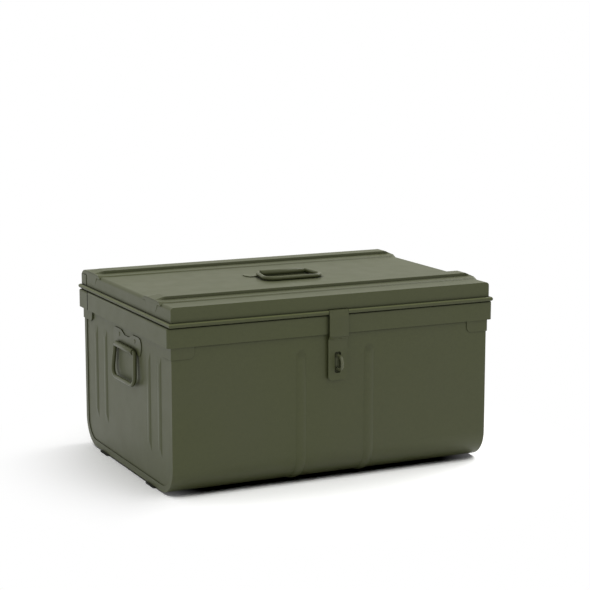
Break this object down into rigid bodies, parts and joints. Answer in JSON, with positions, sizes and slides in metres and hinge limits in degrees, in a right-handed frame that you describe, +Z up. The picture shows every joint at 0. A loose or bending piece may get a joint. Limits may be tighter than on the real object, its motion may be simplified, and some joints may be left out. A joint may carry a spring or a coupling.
{
  "type": "small tin trunk",
  "caption": "Sheet-metal trunk with a rear-hinged ribbed lid, a wired lid edge, a collar round the mouth, drop handles and a front hasp over a staple.",
  "frame": {"origin": "middle of the footprint, on the floor under the two skids", "axes": "+X along the trunk, to the right seen from the hasp side; +Y from the hasp side to the hinge side; +Z up"},
  "size_m": [0.5184, 0.395, 0.2795],
  "materials": {
    "body_paint": "satin olive paint on sheet metal",
    "lid_paint": "satin olive paint on sheet metal",
    "fitting_paint": "satin olive paint on pressed fittings",
    "wire_paint": "satin olive paint on steel wire, a little glossier"
  },
  "bodies": {
    "trunk": {"body_wrap": "body_paint", "end_panel_left": "body_paint", "end_panel_right": "body_paint", "collar_front": "body_paint", "collar_rear": "body_paint", "corner_plate_front_left": "body_paint", "corner_plate_front_right": "body_paint", "corner_plate_rear_left": "body_paint", "corner_plate_rear_right": "body_paint", "skid_front": "body_paint", "skid_rear": "body_paint", "hinge_leaf_left": "fitting_paint", "hinge_leaf_right": "fitting_paint", "hinge_rivets_left": "fitting_paint", "hinge_rivets_right": "fitting_paint", "staple": "wire_paint", "staple_plate": "fitting_paint", "left_handle_plate": "fitting_paint", "right_handle_plate": "fitting_paint", "left_handle_rivets": "fitting_paint", "right_handle_rivets": "fitting_paint"},
    "lid": {"lid_shell": "lid_paint", "lid_wire": "wire_paint", "top_handle_plate": "fitting_paint", "top_handle_rivets": "fitting_paint"},
    "hasp": {"hasp_strap": "fitting_paint"},
    "left_bail": {"left_bail": "wire_paint"},
    "right_bail": {"right_bail": "wire_paint"},
    "top_bail": {"top_bail": "wire_paint"}
  },
  "joints": [
    {"name": "lid_hinge", "type": "hinge", "parent": "trunk", "child": "lid", "pos_m": [0, 0.1913, 0.246], "axis": [-1, 0, 0], "range_deg": [0, 100]},
    {"name": "hasp_hinge", "type": "hinge", "parent": "lid", "child": "hasp", "pos_m": [0.0015, -0.1813, 0.246], "axis": [-1, 0, 0], "range_deg": [0, 125]},
    {"name": "left_bail_hinge", "type": "hinge", "parent": "trunk", "child": "left_bail", "pos_m": [-0.2532, -0.001, 0.1835], "axis": [0, 1, 0], "range_deg": [-4.9, 161.5]},
    {"name": "right_bail_hinge", "type": "hinge", "parent": "trunk", "child": "right_bail", "pos_m": [0.2532, -0.001, 0.1835], "axis": [0, -1, 0], "range_deg": [-4.9, 161.5]},
    {"name": "top_bail_hinge", "type": "hinge", "parent": "lid", "child": "top_bail", "pos_m": [0.0065, 0.0165, 0.2751], "axis": [-1, 0, 0], "range_deg": [0, 181.4]}
  ]
}
